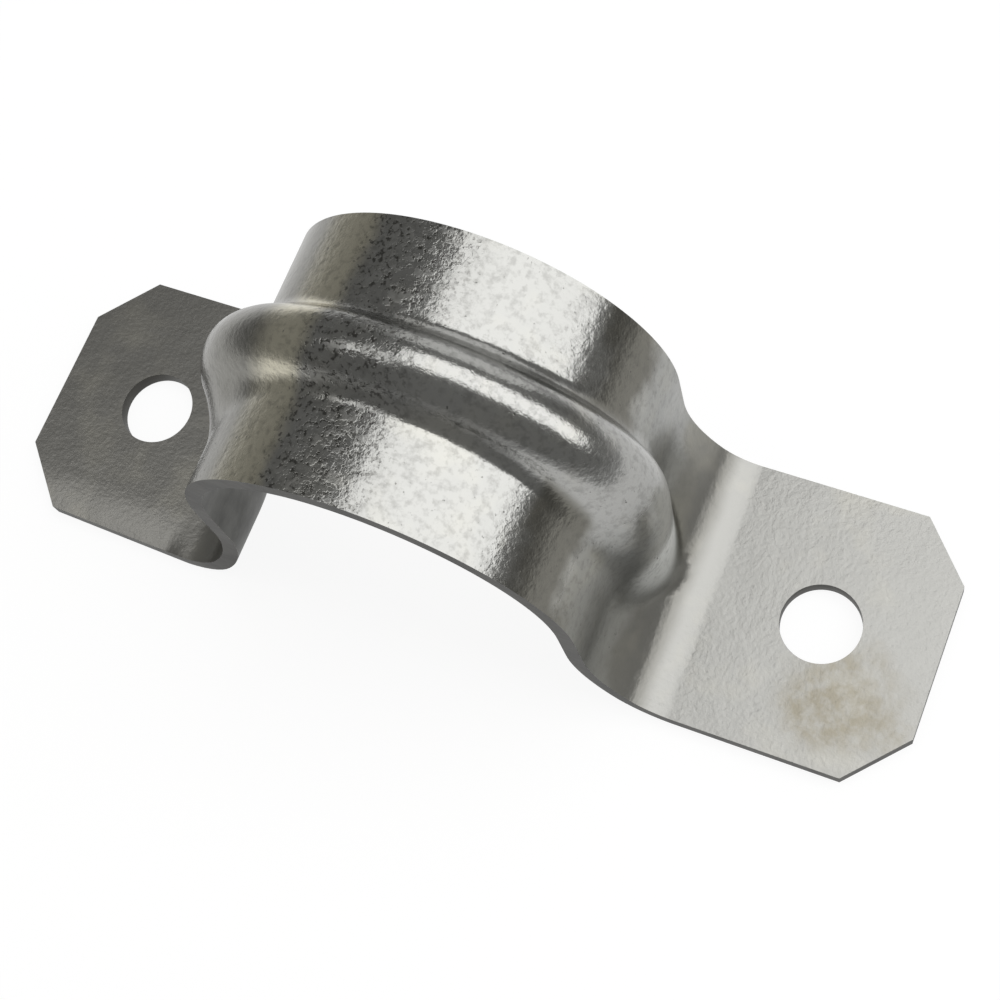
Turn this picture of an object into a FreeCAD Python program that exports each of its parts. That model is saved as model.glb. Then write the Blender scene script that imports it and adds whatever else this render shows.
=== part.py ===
import FreeCAD, Part
import math
import os

from FreeCAD import Vector

# Conduit strap with an ear on either side, pressed from one piece of steel sheet.
# Millimetres, +Z up. The origin is in the middle of the base plane, under the conduit's axis.
# The conduit runs along Y, and the ears lie on Z = 0 to either side of it, along X.

# Driving dimensions
sheet = 1.1                # thickness, the same everywhere
length = 65.0              # over the two ears
width = 18.2               # along the conduit
earFlare = 0.6             # how far the left ear's front edge spreads towards its bend
seatRadius = 11.8          # inside of the arch, for a 23.4 mm conduit
axisHeight = 11.9          # conduit's axis above the base plane
footRadius = 6.6           # hollow bend from leg to ear, on the upper skin
holeSpacing = 49.6         # from screw hole to screw hole
holeRadius = 2.65
cornerAlongX = 3.45        # clipped corner of the blank, measured along the ear
cornerAlongY = 3.85        # the same, measured across the ear
cornerRound = 0.4          # where a clipped corner meets the straight edges
edgeBreak = 0.22           # upper edge of the blank and rims of the holes
beadRadius = 3.1           # round back of the bead, on the upper skin
beadBlend = 1.1            # hollow blend at the bead's root, on the upper skin
beadHeight = 2.35          # bead above the plain skin

# Sizes that follow
upperRadius = seatRadius + sheet
footCentreX = upperRadius + footRadius
footCentreZ = sheet + footRadius
stockY = width / 2 + earFlare + 1   # half width of the folded stock, before it is cut to outline
stockX = length / 2 + 1
endX = length / 2
middleY = earFlare / 2     # the flare is at the front only, so the middle of the bead lies behind Y = 0


def line(start, end):
    return Part.LineSegment(start, end).toShape()


def arc(start, middle, end):
    return Part.Arc(start, middle, end).toShape()


def onCircle(centre, radius, angle, across):
    """A point on a circle round centre; the angle turns from +X towards the direction across."""
    return centre + Vector(1, 0, 0) * radius * math.cos(angle) + across * radius * math.sin(angle)


def mirrored(shape):
    """The same shape on the other side of the conduit."""
    return shape.mirror(Vector(0, 0, 0), Vector(1, 0, 0))


def thickened(half):
    """Half of a profile and its mirror image, drawn out along the conduit."""
    edges = half + [mirrored(edge) for edge in half]
    profile = Part.Face(Part.Wire(Part.__sortEdges__(edges)))
    return profile.extrude(Vector(0, 2 * stockY, 0))


def skinLine(inset):
    """Half of one skin's profile, from the top of the arch to the end of the foot bend."""
    axis = Vector(0, -stockY, axisHeight)
    centre = Vector(footCentreX, -stockY, footCentreZ)
    up = Vector(0, 0, 1)
    down = Vector(0, 0, -1)
    radius = upperRadius - inset
    bend = footRadius + inset
    top = onCircle(axis, radius, math.pi / 2, up)
    shoulder = onCircle(axis, radius, math.pi / 4, up)
    spring = onCircle(axis, radius, 0, up)
    legFoot = onCircle(centre, bend, math.pi, down)
    bendMiddle = onCircle(centre, bend, math.pi * 3 / 4, down)
    bendEnd = onCircle(centre, bend, math.pi / 2, down)
    return [
        arc(top, shoulder, spring),
        line(spring, legFoot),
        arc(legFoot, bendMiddle, bendEnd),
    ], bendEnd


def foldedStock():
    """The plain folded sheet: arch, legs, foot bends and ears."""
    upper, upperEnd = skinLine(0)
    lower, lowerEnd = skinLine(sheet)
    endTop = Vector(stockX, -stockY, sheet)
    end = Vector(stockX, -stockY, 0)
    return thickened(upper + lower + [line(upperEnd, endTop), line(endTop, end), line(end, lowerEnd)])


def spaceUnder(inset):
    """All that lies under a skin, from the arch down past the base plane."""
    half, bendEnd = skinLine(inset)
    corner = Vector(bendEnd.x, -stockY, -3 * sheet)
    return thickened(half + [line(bendEnd, corner), line(corner, Vector(0, -stockY, -3 * sheet))])


def beadRod(inset):
    """A round rod along the bead, down both legs. With no inset, its outside is the bead's back."""
    centreX = upperRadius + beadHeight - beadRadius
    disc = Part.Face(Part.Wire(Part.makeCircle(beadRadius - inset, Vector(centreX, 0, axisHeight))))
    arch = disc.revolve(Vector(0, 0, axisHeight), Vector(0, -1, 0), 180)
    leg = disc.extrude(Vector(0, 0, -axisHeight - 2 * sheet))
    return arch.fuse([leg, mirrored(leg)]).removeSplitter()


def offSkin(point, inset):
    """How far a point is from one skin of the plain folded sheet."""
    x = abs(point.x)
    if point.z >= axisHeight:
        return abs(math.hypot(x, point.z - axisHeight) - upperRadius + inset)
    if point.z >= footCentreZ:
        return abs(x - upperRadius + inset)
    if x <= footCentreX:
        return abs(math.hypot(x - footCentreX, point.z - footCentreZ) - footRadius - inset)
    return abs(point.z - sheet + inset)


def onSkin(edge, inset):
    middle = edge.valueAt((edge.FirstParameter + edge.LastParameter) / 2)
    points = [vertex.Point for vertex in edge.Vertexes] + [middle]
    return all(offSkin(point, inset) < 1e-3 for point in points)


def beadRoots(shape, inset):
    """Edges where the bead leaves one skin of the plain sheet."""
    roots = []
    for edge in shape.Edges:
        inside = all(abs(vertex.Point.y) < beadRadius + 1 for vertex in edge.Vertexes)
        if inside and onSkin(edge, inset):
            roots.append(edge)
    return roots


def pressedStock():
    """
    The folded sheet with its bead. The two skins' bends share their centres, so the sheet keeps
    its thickness: a rod less thick by the sheet hollows it, and the lower blends are wider by it.
    """
    inBox = Part.makeBox(2 * length, width, length, Vector(-length, -width / 2, 0))
    raised = beadRod(0).cut(spaceUnder(sheet / 2)).common(inBox)
    stock = foldedStock().fuse(raised).cut(beadRod(sheet)).removeSplitter()
    stock = stock.makeFillet(beadBlend, beadRoots(stock, 0))
    return stock.makeFillet(beadBlend + sheet, beadRoots(stock, sheet))


def blankOutline():
    """The outline of the strap from above, with its clipped corners and the flare at the left."""
    sideY = width / 2
    innerX = endX - cornerAlongX
    innerY = sideY - cornerAlongY
    corners = [
        Vector(innerX, -sideY, 0),
        Vector(endX, -innerY, 0),
        Vector(endX, innerY, 0),
        Vector(innerX, sideY, 0),
        Vector(-innerX, sideY, 0),
        Vector(-endX, innerY, 0),
        Vector(-endX, -innerY, 0),
        Vector(-innerX, -sideY, 0),
    ]
    flare = [
        Vector(-footCentreX, -sideY - earFlare, 0),
        Vector(-upperRadius - footRadius * 0.1, -sideY, 0),
    ]
    outline = Part.Face(Part.makePolygon(corners + flare + corners[:1]))
    strip = outline.extrude(Vector(0, 0, length))
    upright = [edge for edge in strip.Edges if abs(edge.tangentAt(edge.FirstParameter).z) > 0.5]
    atFlare = [edge for edge in upright if abs(edge.Vertexes[0].Point.x) < innerX - 1]
    strip = strip.makeFillet(footRadius / 2, atFlare)
    upright = [edge for edge in strip.Edges if abs(edge.tangentAt(edge.FirstParameter).z) > 0.5]
    atCorner = [edge for edge in upright if abs(edge.Vertexes[0].Point.x) > innerX - 1]
    return strip.makeFillet(cornerRound, atCorner)


def screwHoles():
    punch = Part.makeCylinder(holeRadius, 3 * sheet, Vector(holeSpacing / 2, 0, -sheet))
    return punch.fuse(mirrored(punch))


def upperEdges(shape):
    """Upper edges of the sheared sides and rims of the holes."""
    edges = []
    for face in shape.Faces:
        low, high, left, right = face.ParameterRange
        normal = face.normalAt((low + high) / 2, (left + right) / 2)
        atSide = abs(normal.y) > 0.3 or abs(face.CenterOfMass.x) > footCentreX
        if abs(normal.z) < 1e-6 and atSide:
            edges += [edge for edge in face.Edges if onSkin(edge, 0)]
    return edges


strap = pressedStock().common(blankOutline()).cut(screwHoles())
strap = strap.makeChamfer(edgeBreak, upperEdges(strap)).Solids[0]
strap.translate(Vector(0, middleY, 0))

os.makedirs("parts", exist_ok=True)
strap.exportStep("parts/strap.step")
print("strap", strap.isValid(), round(strap.Volume), "mm3, box", strap.BoundBox)
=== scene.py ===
import math

import bmesh
import bpy
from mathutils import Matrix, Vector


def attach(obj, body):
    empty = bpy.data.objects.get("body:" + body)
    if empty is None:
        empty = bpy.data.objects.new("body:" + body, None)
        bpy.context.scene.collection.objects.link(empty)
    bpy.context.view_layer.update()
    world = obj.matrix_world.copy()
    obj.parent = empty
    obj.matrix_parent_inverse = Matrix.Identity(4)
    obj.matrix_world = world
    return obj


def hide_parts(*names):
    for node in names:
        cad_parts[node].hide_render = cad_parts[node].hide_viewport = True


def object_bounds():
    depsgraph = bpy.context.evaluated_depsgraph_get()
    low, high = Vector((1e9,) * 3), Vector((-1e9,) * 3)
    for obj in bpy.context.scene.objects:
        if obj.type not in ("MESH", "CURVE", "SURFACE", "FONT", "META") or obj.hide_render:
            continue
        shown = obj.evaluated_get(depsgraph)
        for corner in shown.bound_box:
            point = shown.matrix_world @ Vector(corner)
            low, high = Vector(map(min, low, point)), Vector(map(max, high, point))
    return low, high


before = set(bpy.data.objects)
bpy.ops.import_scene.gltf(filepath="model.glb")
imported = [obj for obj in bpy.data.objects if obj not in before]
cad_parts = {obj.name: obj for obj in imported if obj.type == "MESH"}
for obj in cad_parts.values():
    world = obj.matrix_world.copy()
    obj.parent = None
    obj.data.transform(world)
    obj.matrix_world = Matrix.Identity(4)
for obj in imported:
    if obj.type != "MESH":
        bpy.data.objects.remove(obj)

cadBox = [list(corner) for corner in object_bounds()]
bpy.ops.object.select_all(action="DESELECT")


# places are in metres and turns in degrees
def placeInRoom(name, data, values):
    holder = bpy.data.objects.new(name, data)
    holder.location = values["place"]
    holder.rotation_euler = [math.radians(angle) for angle in values["turn"]]
    bpy.context.collection.objects.link(holder)
    return holder


camera = {
    "place": (0.038074, -0.032039, 0.114873),
    "turn": (21.2175, 10.3982, 22.2709),
    "lens": 65.9,               # millimetres
    "clipStart": 0.005,
}


def addCamera():
    data = bpy.data.cameras.new("camera")
    data.lens = camera["lens"]
    data.clip_start = camera["clipStart"]
    bpy.context.scene.camera = placeInRoom("camera", data, camera)
    print("camera placed")


# one wide softbox over the strap and to its right; glow is the brightness of a lamp's face
lights = {
    "softbox": {
        "place": (0.3264, 0.175, 0.4149),
        "turn": (0, 19.4, 0),
        "size": (0.98, 0.42),
        "glow": 1.92,
    },
    "rear": {
        "place": (0, 0.77, 0.23),
        "turn": (-74, 0, 0),
        "size": (0.6, 0.46),
        "glow": 0.75,
    },
    "fill": {
        "place": (-0.27, -0.05, 0.534),
        "turn": (4.8, -26.8, 0),
        "size": (0.2, 0.2),
        "glow": 1.6,
    },
}
roomColour = (0.24, 0.24, 0.235)    # dark room, which the metal shows beside the lamps and the floor


def addLights():
    room = bpy.data.worlds.new("room")
    room.use_nodes = True
    room.node_tree.nodes["Background"].inputs["Color"].default_value = (*roomColour, 1)
    bpy.context.scene.world = room
    for name, lamp in lights.items():
        data = bpy.data.lights.new(name, "AREA")
        data.shape = "RECTANGLE"
        data.size, data.size_y = lamp["size"]
        data.energy = lamp["glow"] * math.pi * data.size * data.size_y
        placeInRoom(name, data, lamp)
    print("lights placed")


# span is where the result is low and where it is high
def ramp(tree, source, span, low=0.0, high=1.0, curve="LINEAR"):
    node = tree.nodes.new("ShaderNodeMapRange")
    node.interpolation_type = curve
    for name, value in zip(("From Min", "From Max", "To Min", "To Max"), (*span, low, high)):
        node.inputs[name].default_value = value
    tree.links.new(source, node.inputs["Value"])
    return node.outputs["Result"]


def fade(tree, source, span, low=0.0, high=1.0):
    return ramp(tree, source, span, low, high, "SMOOTHSTEP")


def maths(tree, operation, first, second):
    node = tree.nodes.new("ShaderNodeMath")
    node.operation = operation
    for socket, value in zip(node.inputs, (first, second)):
        if isinstance(value, (int, float)):
            socket.default_value = value
        else:
            tree.links.new(value, socket)
    return node.outputs[0]


def product(tree, first, *others):
    for other in others:
        first = maths(tree, "MULTIPLY", first, other)
    return first


# the node's colours A and B are its sockets 6 and 7, and the mixed colour is its output 2
def blend(tree, share, first, second):
    node = tree.nodes.new("ShaderNodeMix")
    node.data_type = "RGBA"
    tree.links.new(share, node.inputs[0])
    for socket, value in ((node.inputs[6], first), (node.inputs[7], second)):
        if isinstance(value, tuple):
            socket.default_value = (*value, 1)
        else:
            tree.links.new(value, socket)
    return node.outputs[2]


# texture is scale, detail and roughness
def noise(tree, place, texture):
    node = tree.nodes.new("ShaderNodeTexNoise")
    for name, value in zip(("Scale", "Detail", "Roughness"), texture):
        node.inputs[name].default_value = value
    tree.links.new(place, node.inputs["Vector"])
    return node.outputs[0]


noiseMiddle = 0.5


# carries the edge of a mark to and fro with a noise
def wander(tree, source, cloud, reach):
    swing = maths(tree, "SUBTRACT", cloud, noiseMiddle)
    return maths(tree, "ADD", source, product(tree, swing, reach))


def distance(tree, place, centre):
    node = tree.nodes.new("ShaderNodeVectorMath")
    node.operation = "DISTANCE"
    node.inputs[1].default_value = centre
    tree.links.new(place, node.inputs[0])
    return node.outputs["Value"]


# relief is strength and depth, and under is the normal that it is laid on
def bump(tree, height, relief, under=None):
    node = tree.nodes.new("ShaderNodeBump")
    node.inputs["Strength"].default_value, node.inputs["Distance"].default_value = relief
    tree.links.new(height, node.inputs["Height"])
    if under:
        tree.links.new(under, node.inputs["Normal"])
    return node.outputs["Normal"]


paperFloor = {
    "size": 8,
    "height": -0.00003,         # a hair under the ears
    "colour": (0.9, 0.9, 0.9),
    "evenness": 0.86,           # share of the paper that stays plain white, the rest takes the shadow
    "white": 1.06,              # strength of the plain white
    "whiteTo": 0.085,           # paper under the strap, then the table fades to a pale grey
    "greyFrom": 0.15,
    "grey": 0.42,
}


def floorMaterial():
    material = bpy.data.materials.new("paperFloor")
    material.use_nodes = True
    tree = material.node_tree
    tree.nodes.clear()
    place = tree.nodes.new("ShaderNodeTexCoord").outputs["Object"]
    span = (paperFloor["whiteTo"], paperFloor["greyFrom"])
    shade = fade(tree, distance(tree, place, (0, 0, 0)), span, 1.0, paperFloor["grey"])
    paper = tree.nodes.new("ShaderNodeBsdfDiffuse")
    tree.links.new(blend(tree, shade, (0.0, 0.0, 0.0), paperFloor["colour"]), paper.inputs["Color"])
    even = tree.nodes.new("ShaderNodeEmission")
    tree.links.new(product(tree, shade, paperFloor["white"]), even.inputs["Strength"])

    # the camera and the metal see mostly the even white, all other light meets the paper
    path = tree.nodes.new("ShaderNodeLightPath")
    seen = maths(tree, "MAXIMUM", path.outputs["Is Camera Ray"], path.outputs["Is Glossy Ray"])
    seen = maths(tree, "MAXIMUM", seen, path.outputs["Is Transmission Ray"])
    mix = tree.nodes.new("ShaderNodeMixShader")
    tree.links.new(product(tree, seen, paperFloor["evenness"]), mix.inputs["Fac"])
    tree.links.new(paper.outputs[0], mix.inputs[1])
    tree.links.new(even.outputs[0], mix.inputs[2])
    out = tree.nodes.new("ShaderNodeOutputMaterial")
    tree.links.new(mix.outputs[0], out.inputs["Surface"])
    return material


# One sheet: its bead is pressed while it is flat, then it is rolled, clipped, walled and drilled.
# Metres and degrees; top, radii and bends are of the upper skin.
strapSheet = {
    "thickness": 0.0011,
    "length": round(cadBox[1][0] - cadBox[0][0], 6),    # over the two ears, as in the CAD
    "width": 0.0182,            # along the conduit
    "middle": 0.0003,           # of the width, behind Y = 0 because the flare is at the front only
    "top": 0.0248,
    "archRadius": 0.0129,
    "leg": 0.0035,              # straight stretch under the arch
    "footEasy": 0.0095,         # the bend out of the leg is easy at first and tight above the ear
    "footTight": 0.0038,
    "easyTurn": 38,             # share of the bend's 90 degrees that is easy
    "columns": 190,             # faces along the sheet
    "rows": 72,                 # faces across it
    "waist": 0.985,             # the arch draws in a little where the bead is pressed
    "flare": 0.0006,            # left ear, front edge, towards its bend
    "flareLost": 0.9,           # share of the flare that is gone again at the ear's end
    "cornerAlongX": 0.00345,
    "cornerAlongY": 0.00385,
    "holeRadius": 0.00265,
    "holeSpacing": 0.0496,
    "holeSides": 64,
    "drillDepth": 0.006,
    "drillMiddle": 0.0005,      # up Z
    "flatAngle": 0.25,          # neighbours that differ by less become one face
    "rolledEdge": 0.00032,
    "rolledSegments": 3,
    "rolledAngle": 55,
    "smoothAngle": 35,
}

# distances along the upper skin, from the top of the arch
easyTurn = math.radians(strapSheet["easyTurn"])
bendStart = strapSheet["archRadius"] * math.pi / 2 + strapSheet["leg"]
bendMiddle = bendStart + strapSheet["footEasy"] * easyTurn
bendEnd = bendMiddle + strapSheet["footTight"] * (math.pi / 2 - easyTurn)
easyAcross = strapSheet["footEasy"] * (1 - math.cos(easyTurn))
tightAcross = strapSheet["footTight"] * math.cos(easyTurn)
earStart = strapSheet["archRadius"] + easyAcross + tightAcross      # along X, from the middle
halfLength = bendEnd + strapSheet["length"] / 2 - earStart
columnStep = 2 * halfLength / strapSheet["columns"]

millimetres = 1000              # in a metre
least = 0.000001                # metres or radians that count as nothing

# millimetres; each row starts with the distance from the top of the arch along the upper skin
bead = {
    "profile": [                # height, then radius of the round back, front hollow, rear hollow
        (0.0, 2.05, 2.4, 1.2, 1.2),         # crown
        (6.75, 2.2, 2.5, 1.2, 1.2),
        (10.56, 2.5, 2.65, 1.3, 1.2),
        (13.5, 2.72, 2.8, 1.6, 1.2),
        (16.9, 2.76, 3.1, 2.3, 1.3),
        (20.26, 2.55, 3.5, 3.0, 1.4),       # end of the arch
        (23.76, 2.32, 4.1, 3.6, 1.6),       # end of the leg
        (25.42, 2.10, 4.3, 3.7, 1.7),
        (27.08, 1.60, 4.6, 3.8, 1.8),
        (28.0, 1.22, 4.8, 3.9, 1.9),
        (28.9, 0.80, 5.0, 4.0, 2.0),
        (29.7, 0.40, 5.2, 4.0, 2.0),
        (30.5, 0.12, 5.4, 4.0, 2.0),
        (31.5, 0.0, 5.6, 4.0, 2.0),         # run out, in the foot bend
    ],
    "leftHollow": [             # the front hollow's radius on the left, which was pressed softer
        (0.0, 1.2),
        (8.0, 1.3),
        (11.5, 2.6),
        (14.5, 5.5),
        (18.0, 8.5),
        (25.0, 9.0),
        (29.0, 7.0),
        (60.0, 5.0),
    ],
    "fullWeight": 2.8,          # height that a vertex weight of 1 stands for
}


def rowAt(table, s):
    for (start, *low), (end, *high) in zip(table, table[1:]):
        if s <= end:
            share = (s - start) / (end - start)
            return [a + (b - a) * share for a, b in zip(low, high)]
    return table[-1][1:]


# a round back on two hollows; y is across the bead, the front is negative
def beadRise(s, y):
    height, back, front, rear = rowAt(bead["profile"], abs(s))
    if height <= 0:
        return 0
    if s < 0:
        front = rowAt(bead["leftHollow"], -s)[0]
    hollow = front if y < 0 else rear
    reach = math.sqrt((back + hollow) ** 2 - (back + hollow - height) ** 2)
    away = abs(y)
    if away >= reach:
        return 0
    if away <= reach * back / (back + hollow):
        return height - back + math.sqrt(back ** 2 - away ** 2)
    return hollow - math.sqrt(hollow ** 2 - (reach - away) ** 2)


# share of the width that is left at s
def waistAt(s):
    if abs(s) < bendStart:
        return strapSheet["waist"]
    if abs(s) < bendEnd:
        return strapSheet["waist"] + (1 - strapSheet["waist"]) * (abs(s) - bendStart) / (bendEnd - bendStart)
    return 1


# share of the flare that the front edge has at s
def flareAt(s):
    if s >= -bendStart:
        return 0
    if s > -bendEnd:
        share = (-s - bendStart) / (bendEnd - bendStart)
        return share * share * (3 - 2 * share)
    return 1 - (-s - bendEnd) / (halfLength - bendEnd) * strapSheet["flareLost"]


# how far the sheet has turned down at s, in radians
def turnAt(s):
    arch = min(s, strapSheet["archRadius"] * math.pi / 2) / strapSheet["archRadius"]
    easy = min(max(s - bendStart, 0), bendMiddle - bendStart) / strapSheet["footEasy"]
    tight = min(max(s - bendMiddle, 0), bendEnd - bendMiddle) / strapSheet["footTight"]
    return arch - easy - tight


def applyModifier(sheet, name, kind, **values):
    bpy.context.view_layer.objects.active = sheet
    modifier = sheet.modifiers.new(name, kind)
    for key, value in values.items():
        setattr(modifier, key, value)
    bpy.ops.object.modifier_apply(modifier=name)


def pickVertices(sheet, wanted):
    mesh = bmesh.from_edit_mesh(sheet.data)
    mesh.verts.index_update()
    for vertex in mesh.verts:
        vertex.select = wanted(vertex)
    mesh.select_flush_mode()
    bmesh.update_edit_mesh(sheet.data)


def cutBlank():
    bpy.ops.mesh.primitive_grid_add(
        x_subdivisions=strapSheet["columns"],
        y_subdivisions=strapSheet["rows"],
        size=1,
        location=(0, 0, strapSheet["top"]),
    )
    sheet = bpy.context.object
    sheet.name = "strapSheet"
    sheet.scale = (2 * halfLength, strapSheet["width"], 1)
    bpy.ops.object.transform_apply(location=True, rotation=False, scale=True)
    print("blank cut")
    return sheet


# the bead is pressed while the blank is flat
def pressBead(sheet):
    group = sheet.vertex_groups.new(name="bead")
    for vertex in sheet.data.vertices:
        rise = beadRise(vertex.co.x * millimetres, vertex.co.y * millimetres)
        if rise > 0:
            group.add([vertex.index], rise / bead["fullWeight"], "REPLACE")
    applyModifier(
        sheet, "press", "DISPLACE",
        direction="Z",
        mid_level=0,
        strength=bead["fullWeight"] / millimetres,
        vertex_group="bead",
    )
    sheet.vertex_groups.clear()
    print("bead pressed")


# waist of the arch, and the flare of the left ear's front edge
def shapeSides(sheet, column):
    for number in range(strapSheet["columns"] + 1):
        s = -halfLength + number * columnStep
        middle = (s, 0, strapSheet["top"])
        if waistAt(s) < 1:
            pickVertices(sheet, lambda vertex: column[vertex.index] == number)
            bpy.ops.transform.resize(value=(1, waistAt(s), 1), center_override=middle)
        if flareAt(s) > 0:
            wider = 1 + strapSheet["flare"] * flareAt(s) / (strapSheet["width"] / 2)
            pickVertices(sheet, lambda vertex: column[vertex.index] == number and vertex.co.y < 0)
            bpy.ops.transform.resize(value=(1, wider, 1), center_override=middle)
    print("sides shaped")


# round the arch, then back out into the feet, from the ends inwards
def rollSheet(sheet, column):
    last = strapSheet["columns"]
    for number in range(last, last // 2 - 1, -1):
        s = -halfLength + number * columnStep
        inner = max(s - columnStep / 2, 0)
        outer = min(s + columnStep / 2, halfLength)
        bend = turnAt(outer) - turnAt(inner)
        if abs(bend) < least:
            continue
        for side in (1, -1):
            hinge = number if side == 1 else last - number
            pickVertices(sheet, lambda vertex: (column[vertex.index] - hinge) * side > 0)
            # without a window the operator turns the other way
            bpy.ops.transform.rotate(
                value=-bend * side,
                orient_axis="Y",
                orient_type="GLOBAL",
                center_override=(s * side, 0, strapSheet["top"]),
            )
    print("sheet rolled to shape")


def clipCorners(sheet):
    alongX = strapSheet["cornerAlongX"]
    alongY = strapSheet["cornerAlongY"]
    slant = math.hypot(alongX, alongY)
    endX = max(vertex.co.x for vertex in bmesh.from_edit_mesh(sheet.data).verts)
    nearX = endX - 2 * alongX
    for sideX in (1, -1):
        for sideY in (1, -1):
            # only the faces round this corner are cut
            pickVertices(sheet, lambda vertex: vertex.co.x * sideX > nearX and vertex.co.y * sideY > alongY)
            bpy.ops.mesh.bisect(
                plane_co=(sideX * (endX - alongX), sideY * strapSheet["width"] / 2, 0),
                plane_no=(sideX * alongY / slant, sideY * alongX / slant, 0),
                clear_outer=True,
                threshold=least,
            )
    print("corners clipped")


def drillHoles(sheet):
    for side in (1, -1):
        place = (side * strapSheet["holeSpacing"] / 2, strapSheet["middle"], strapSheet["drillMiddle"])
        bpy.ops.mesh.primitive_cylinder_add(
            vertices=strapSheet["holeSides"],
            radius=strapSheet["holeRadius"],
            depth=strapSheet["drillDepth"],
            location=place,
        )
        drill = bpy.context.object
        drill.data.materials.append(sheet.data.materials["cutEdge"])
        applyModifier(sheet, "screwHole", "BOOLEAN", operation="DIFFERENCE", solver="EXACT", object=drill)
        bpy.data.objects.remove(drill)
    print("holes drilled")


# flat stretches become large faces, then the edges are rolled and the shading is evened
def finishEdges(sheet):
    bpy.ops.object.select_all(action="DESELECT")
    sheet.select_set(True)
    bpy.ops.object.mode_set(mode="EDIT")
    bpy.ops.mesh.select_all(action="SELECT")
    flat = math.radians(strapSheet["flatAngle"])
    bpy.ops.mesh.dissolve_limited(angle_limit=flat, delimit={"MATERIAL"})
    bpy.ops.object.mode_set(mode="OBJECT")
    applyModifier(
        sheet, "rolledEdge", "BEVEL",
        width=strapSheet["rolledEdge"],
        segments=strapSheet["rolledSegments"],
        limit_method="ANGLE",
        angle_limit=math.radians(strapSheet["rolledAngle"]),
        material=0,             # zinc
    )
    bpy.ops.object.shade_smooth_by_angle(angle=math.radians(strapSheet["smoothAngle"]))
    applyModifier(sheet, "evenShade", "WEIGHTED_NORMAL", keep_sharp=True)
    sheet.select_set(False)
    print("edges finished,", len(sheet.data.polygons), "faces")


# Marks on the zinc. A pair of numbers is where a mark starts and where it is full, in metres
# along an axis or from a centre, or in the value of a noise.
film = {
    "colour": (0.60, 0.57, 0.46),
    "fromBead": (-0.0038, -0.0050),         # along X
    "fromEar": (-0.0145, -0.0110),
    "wander": 0.002,
    "patches": (0.5, 0.68),
    "patchShare": 0.15,
    "rough": 0.06,
}


# brown film down the left flank, with faint patches elsewhere
def filmShare(tree, x, cloud, arch):
    edge = wander(tree, x, cloud, film["wander"])
    flank = product(tree, fade(tree, edge, film["fromBead"]), fade(tree, x, film["fromEar"]), arch)
    patches = product(tree, ramp(tree, cloud, film["patches"]), film["patchShare"])
    return maths(tree, "MAXIMUM", flank, patches)


# painted shade over the right shoulder, where a dark reflection is painted into the colour, and a darker
# foot
darkShoulderAndFoot = {
    "colour": (0.17, 0.165, 0.145),
    "stripStart": (0.0091, 0.0103),         # along X
    "stripEnd": (0.0127, 0.0117),
    "besideBead": (0.0140, 0.0132),         # from the axis of the arch
    "footStart": (0.0128, 0.0140),
    "footEnd": (0.0166, 0.0154),
    "footBelow": (0.0085, 0.0060),          # up Z
    "footShare": 0.6,
    "wander": 0.003,
    "footEndWander": 0.0009,
}


# painted shade: a dark strip over the right shoulder, on the plain skin only, where a dark reflection is
# painted into the colour; and a fainter darkening round the foot
def darkShoulderAndFootShares(tree, x, z, cloud, arch):
    up = maths(tree, "SUBTRACT", z, strapSheet["top"] - strapSheet["archRadius"])
    squares = maths(tree, "ADD", product(tree, x, x), product(tree, up, up))
    fromAxis = maths(tree, "SQRT", squares, 0)
    edge = wander(tree, x, cloud, darkShoulderAndFoot["wander"])
    paintedShadeStrip = product(
        tree,
        fade(tree, edge, darkShoulderAndFoot["stripStart"]),
        fade(tree, edge, darkShoulderAndFoot["stripEnd"]),
        fade(tree, fromAxis, darkShoulderAndFoot["besideBead"]),
        arch,
    )
    foot = product(
        tree,
        fade(tree, edge, darkShoulderAndFoot["footStart"]),
        fade(tree, wander(tree, x, cloud, darkShoulderAndFoot["footEndWander"]), darkShoulderAndFoot["footEnd"]),
        fade(tree, z, darkShoulderAndFoot["footBelow"]),
        darkShoulderAndFoot["footShare"],
    )
    return paintedShadeStrip, foot


stain = {
    "colour": (0.24, 0.218, 0.165),
    "centre": (0.0275, -0.0045, 0.0011),
    "reach": (0.0048, 0.0015),
    "wander": 0.006,
    "mottle": (900.0, 3.0, 0.6),
    "mottleSpan": (0.35, 0.6),
    "mottleShare": (0.25, 0.8),
}


# mottled brown stain on the right ear
def stainShare(tree, place, cloud):
    away = wander(tree, distance(tree, place, stain["centre"]), cloud, stain["wander"])
    mottle = noise(tree, place, stain["mottle"])
    mottle = ramp(tree, mottle, stain["mottleSpan"], *stain["mottleShare"])
    return product(tree, fade(tree, away, stain["reach"]), mottle)


leftShoulderDark = {
    "colour": (0.215, 0.211, 0.192),
    "side": (-0.0064, -0.0090),             # along X
    "above": (0.008, 0.014),                # up Z
}


# darker grey on the left shoulder
def leftShoulderDarkShare(tree, x, z):
    return product(tree, fade(tree, x, leftShoulderDark["side"]), fade(tree, z, leftShoulderDark["above"]))


# painted highlight at the foot of the right-hand bead
noseHighlight = {
    "colour": (0.80, 0.81, 0.79),
    "centre": (0.0154, -0.0004, 0.0062),
    "reach": (0.0042, 0.0018),
    "rough": 0.25,
}


# painted highlight on the high spot at the foot of the right-hand bead: a bright colour, made rougher
def noseHighlightShare(tree, place):
    return fade(tree, distance(tree, place, noseHighlight["centre"]), noseHighlight["reach"])


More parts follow.
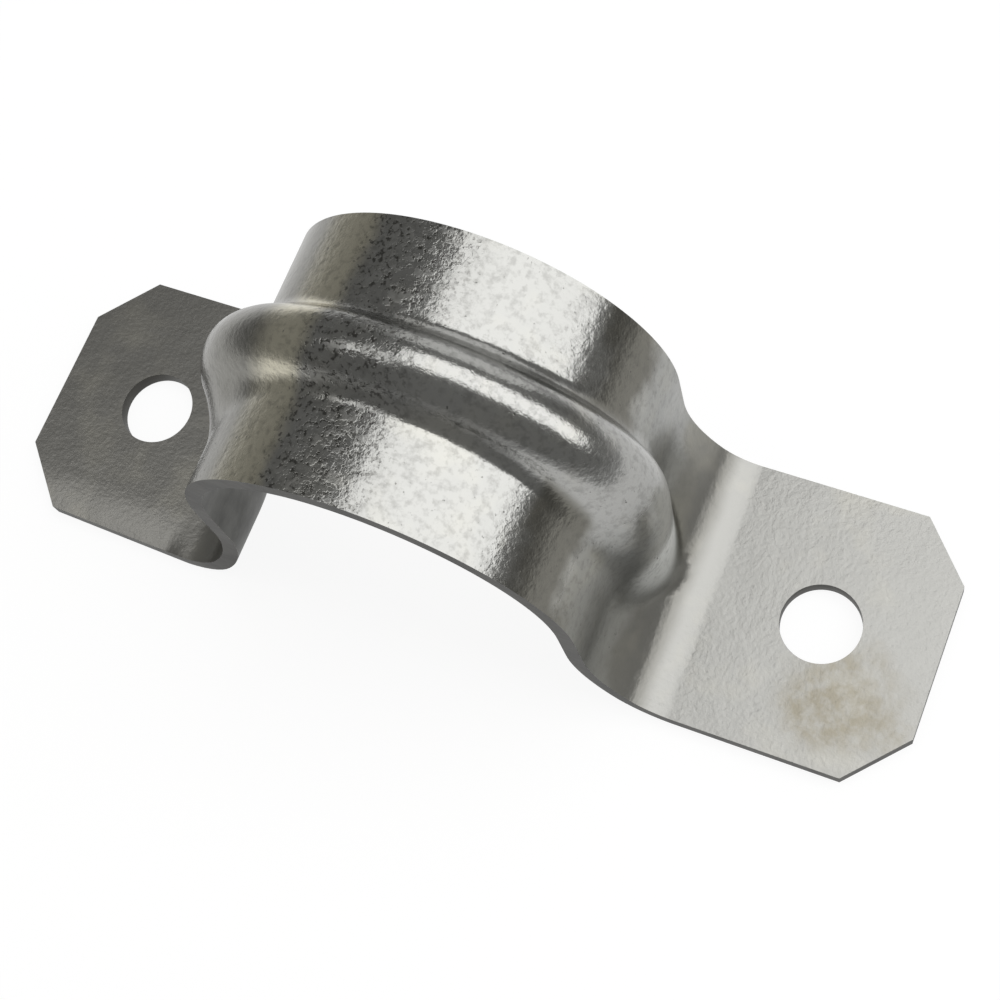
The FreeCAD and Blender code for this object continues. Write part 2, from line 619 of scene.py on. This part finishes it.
# wear on the top of the arch, and a painted shade that darkens the whole top
wearAndShade = {
    "colour": (0.10, 0.098, 0.09),
    "left": (-0.0056, -0.0040),             # along X
    "right": (0.0045, -0.0015),
    "topPaintedShade": 0.3,                        # painted shade: the worn top darkened as a whole
    "flakes": (1050.0, 3.0, 0.6),
    "flakeSpan": (0.5, 0.56),
    "flakesElsewhere": 0.15,
    "pits": (3300.0, 2.0, 0.6),
    "pitSpan": (0.535, 0.64),
    "pitSpanElsewhere": (0.70, 0.76),
    "frost": (2000.0, 3.0, 0.65),
    "frostSpan": (0.48, 0.66),
    "frostShare": 0.3,
    "rough": 0.11,
}


# worn skin of the plating on the top of the arch: frosted flakes and dark pits; the top's mask also carries
# a painted shade over the whole top
def wearAndShadeShares(tree, place, x, arch):
    top = product(tree, fade(tree, x, wearAndShade["left"]), fade(tree, x, wearAndShade["right"]), arch)
    flakes = ramp(tree, noise(tree, place, wearAndShade["flakes"]), wearAndShade["flakeSpan"])
    specks = noise(tree, place, wearAndShade["pits"])
    pits = product(tree, ramp(tree, specks, wearAndShade["pitSpan"]), top)
    scattered = product(tree, ramp(tree, specks, wearAndShade["pitSpanElsewhere"]), arch)
    frost = ramp(tree, noise(tree, place, wearAndShade["frost"]), wearAndShade["frostSpan"])
    frost = product(tree, frost, arch, wearAndShade["frostShare"])
    return top, flakes, maths(tree, "MAXIMUM", pits, scattered), frost


# a texture is scale, detail and roughness, a relief is strength and depth
zinc = {
    "arch": (0.38, 0.38, 0.366),
    "archAbove": (0.0015, 0.009),           # up Z
    "legs": (0.31, 0.312, 0.30),
    "legsBelow": (0.019, 0.013),
    "leftEar": (0.255, 0.25, 0.233),
    "rightEar": (0.335, 0.333, 0.318),
    "earChange": (-0.01, 0.01),             # along X
    "roughArch": 0.19,
    "roughEar": 0.34,
    "roughLegs": 0.17,                      # over the arch's, like each mark's own
    "cloud": (240.0, 3.0, 0.5),
    "wave": (330.0, 2.0, 0.5),
    "waveRelief": (0.5, 0.00009),
    "flakeRelief": (0.22, 0.00005),
    "grain": (2900.0, 2.0, 0.6),
    "grainRelief": (0.5, 0.00004),
    "rollSide": (-0.0060, -0.0093),         # along Y
    "rollAlong": (-0.0170, -0.0195),        # along X
    "rollRelief": (1.0, 0.00028),
}


def startMetal(name):
    material = bpy.data.materials.new(name)
    material.use_nodes = True
    tree = material.node_tree
    shader = tree.nodes["Principled BSDF"]
    shader.inputs["Metallic"].default_value = 1
    place = tree.nodes.new("ShaderNodeTexCoord").outputs["Object"]
    return material, tree, shader, place


def plateFinish():
    material, tree, shader, place = startMetal("zincPlate")
    split = tree.nodes.new("ShaderNodeSeparateXYZ")
    tree.links.new(place, split.inputs[0])
    x, y, z = split.outputs
    cloud = noise(tree, place, zinc["cloud"])
    arch = fade(tree, z, zinc["archAbove"])
    legs = product(tree, fade(tree, z, zinc["legsBelow"]), arch)
    brown = filmShare(tree, x, cloud, arch)
    paintedShadeStrip, foot = darkShoulderAndFootShares(tree, x, z, cloud, arch)
    paintedHighlight = noseHighlightShare(tree, place)
    top, flakes, pits, frost = wearAndShadeShares(tree, place, x, arch)

    # each mark lies over those before it
    ears = blend(tree, ramp(tree, x, zinc["earChange"]), zinc["leftEar"], zinc["rightEar"])
    colour = blend(tree, arch, ears, zinc["arch"])
    for share, tint in (
        (legs, zinc["legs"]),
        (paintedShadeStrip, darkShoulderAndFoot["colour"]),
        (foot, darkShoulderAndFoot["colour"]),
        (brown, film["colour"]),
        (stainShare(tree, place, cloud), stain["colour"]),
        (leftShoulderDarkShare(tree, x, z), leftShoulderDark["colour"]),
        (paintedHighlight, noseHighlight["colour"]),
        (frost, wearAndShade["colour"]),
        (product(tree, top, wearAndShade["topPaintedShade"]), wearAndShade["colour"]),
        (pits, wearAndShade["colour"]),
    ):
        colour = blend(tree, share, colour, tint)
    tree.links.new(colour, shader.inputs["Base Color"])

    rough = ramp(tree, arch, (0.0, 1.0), zinc["roughEar"], zinc["roughArch"])
    for share, more in (
        (product(tree, flakes, top), wearAndShade["rough"]),
        (legs, zinc["roughLegs"]),
        (paintedHighlight, noseHighlight["rough"]),
        (brown, film["rough"]),
    ):
        rough = maths(tree, "ADD", rough, product(tree, share, more))
    tree.links.new(rough, shader.inputs["Roughness"])

    # the left ear's front edge is rolled down a little
    roll = product(tree, ramp(tree, y, zinc["rollSide"]), fade(tree, x, zinc["rollAlong"]))
    normal = bump(tree, product(tree, roll, roll, -1.0), zinc["rollRelief"])
    normal = bump(tree, noise(tree, place, zinc["wave"]), zinc["waveRelief"], normal)
    raised = product(tree, flakes, maths(tree, "ADD", top, wearAndShade["flakesElsewhere"]))
    normal = bump(tree, maths(tree, "SUBTRACT", raised, pits), zinc["flakeRelief"], normal)
    normal = bump(tree, noise(tree, place, zinc["grain"]), zinc["grainRelief"], normal)
    tree.links.new(normal, shader.inputs["Normal"])
    return material


# the sheared edges, and the skin against the conduit, which is painted dark as the shade under the arch
bareMetal = {
    "cutEdge": (0.075, 0.073, 0.066),
    # painted shade: the inner skin is dark because it lies in the shade under the arch
    "innerSkinShade": (0.13, 0.13, 0.122),
    "darker": 0.6,                          # of the colour, in the patches
    "patches": (500.0, 3.0, 0.5),
    "patchSpan": (0.3, 0.7),
    "rough": 0.5,
    "grain": (1600.0, 2.0, 0.5),
    "grainRelief": (0.4, 0.00005),
}


def plainMetal(name):
    material, tree, shader, place = startMetal(name)
    shader.inputs["Roughness"].default_value = bareMetal["rough"]
    colour = bareMetal[name]
    darker = tuple(part * bareMetal["darker"] for part in colour)
    patches = ramp(tree, noise(tree, place, bareMetal["patches"]), bareMetal["patchSpan"])
    tree.links.new(blend(tree, patches, darker, colour), shader.inputs["Base Color"])
    normal = bump(tree, noise(tree, place, bareMetal["grain"]), bareMetal["grainRelief"])
    tree.links.new(normal, shader.inputs["Normal"])
    return material


def makeStrap():
    sheet = cutBlank()
    pressBead(sheet)

    # each vertex is known by its column, because its place changes as the sheet is rolled
    column = [round((vertex.co.x + halfLength) / columnStep) for vertex in sheet.data.vertices]
    bpy.ops.object.mode_set(mode="EDIT")
    bpy.context.tool_settings.mesh_select_mode = (True, False, False)
    shapeSides(sheet, column)
    rollSheet(sheet, column)
    clipCorners(sheet)
    bpy.ops.mesh.select_all(action="SELECT")
    bpy.ops.transform.translate(value=(0, strapSheet["middle"], 0))
    bpy.ops.object.mode_set(mode="OBJECT")

    # the wall goes inwards; its far side has the third material and its rim the second
    for material in (plateFinish(), plainMetal("cutEdge"), plainMetal("innerSkinShade")):
        sheet.data.materials.append(material)
    applyModifier(
        sheet, "wall", "SOLIDIFY",
        thickness=strapSheet["thickness"],
        offset=-1,
        use_even_offset=True,
        material_offset=2,
        material_offset_rim=1,
    )
    drillHoles(sheet)
    finishEdges(sheet)
    return sheet


strap = makeStrap()
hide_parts("strap")
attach(strap, "root")

bpy.ops.mesh.primitive_plane_add(size=paperFloor["size"], location=(0, 0, paperFloor["height"]))
floor = bpy.context.object
floor.name = "floor"
floor.data.materials.append(floorMaterial())
addCamera()
addLights()
bpy.context.scene.view_settings.view_transform = "Standard"
